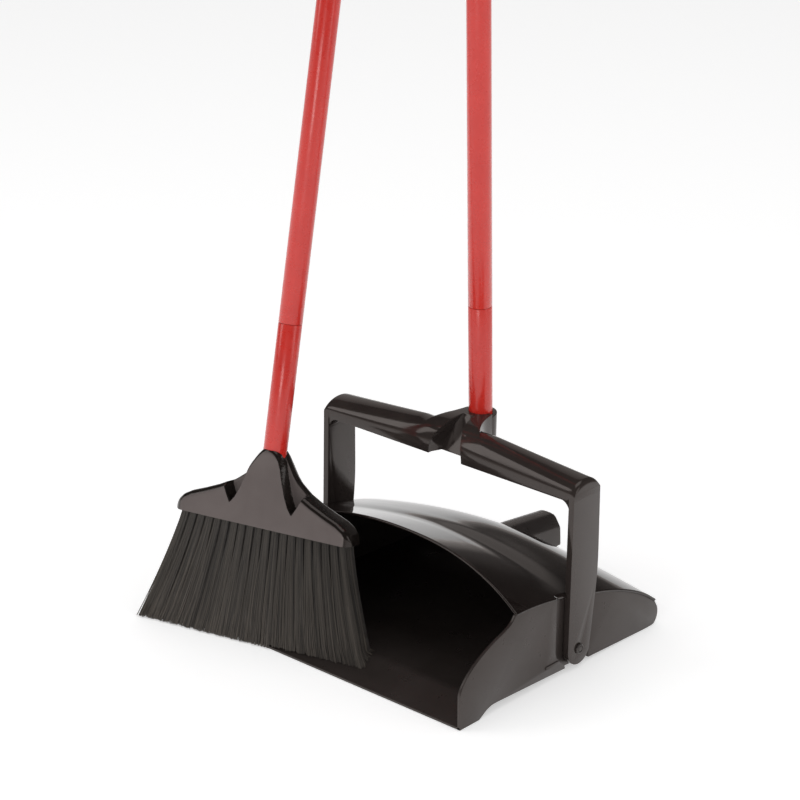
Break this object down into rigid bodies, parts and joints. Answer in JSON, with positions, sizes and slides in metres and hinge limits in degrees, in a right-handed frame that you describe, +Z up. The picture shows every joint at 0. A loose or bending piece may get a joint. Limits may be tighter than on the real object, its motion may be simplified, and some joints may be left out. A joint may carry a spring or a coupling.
{
  "type": "dust pan and brush set",
  "caption": "Hooded dust pan on a swinging yoke with an upright red tube handle, and a matching flared broom standing over its lip.",
  "frame": {"origin": "middle of the flat underside of the pan's lip, on the floor that the pan and the broom stand on", "axes": "+Z up along the handles, -Y out of the pan's mouth, +X to the pan's right side seen from behind it"},
  "size_m": [0.384, 0.3411, 0.914],
  "materials": {
    "tray_plastic": "black moulded plastic with a fine satin grain",
    "hood_plastic": "black moulded plastic, glossy",
    "head_plastic": "black moulded plastic, satin",
    "small_plastic": "black plastic",
    "bristle": "dark grey synthetic bristle",
    "red_paint": "glossy red coating on a thin steel tube",
    "zinc_plate": "zinc plated"
  },
  "bodies": {
    "pan": {"tray": "tray_plastic", "hood": "hood_plastic", "pivot_pin_right": "small_plastic", "pin_clip_right": "small_plastic", "pivot_pin_left": "small_plastic", "pin_clip_left": "small_plastic"},
    "yoke": {"yoke": "hood_plastic", "pan_tube_lower": "red_paint", "pan_tube_upper": "red_paint", "pan_handle_cap": "small_plastic", "socket_screw": "zinc_plate"},
    "broom": {"broom_head": "head_plastic", "tuft_block": "small_plastic", "bristle_row_1": "bristle", "bristle_row_2": "bristle", "bristle_row_3": "bristle", "bristle_row_4": "bristle", "broom_tube_lower": "red_paint", "broom_tube_upper": "red_paint", "broom_handle_cap": "small_plastic", "screw_tip": "small_plastic"}
  },
  "joints": [
    {"name": "yoke_hinge", "type": "hinge", "parent": "pan", "child": "yoke", "pos_m": [0, 0.1485, 0.0195], "axis": [1, 0, 0], "range_deg": [0, 14]},
    {"name": "broom_lift", "type": "slide", "parent": "pan", "child": "broom", "axis": [0, 0, 1], "range_m": [0, 0.25]}
  ]
}
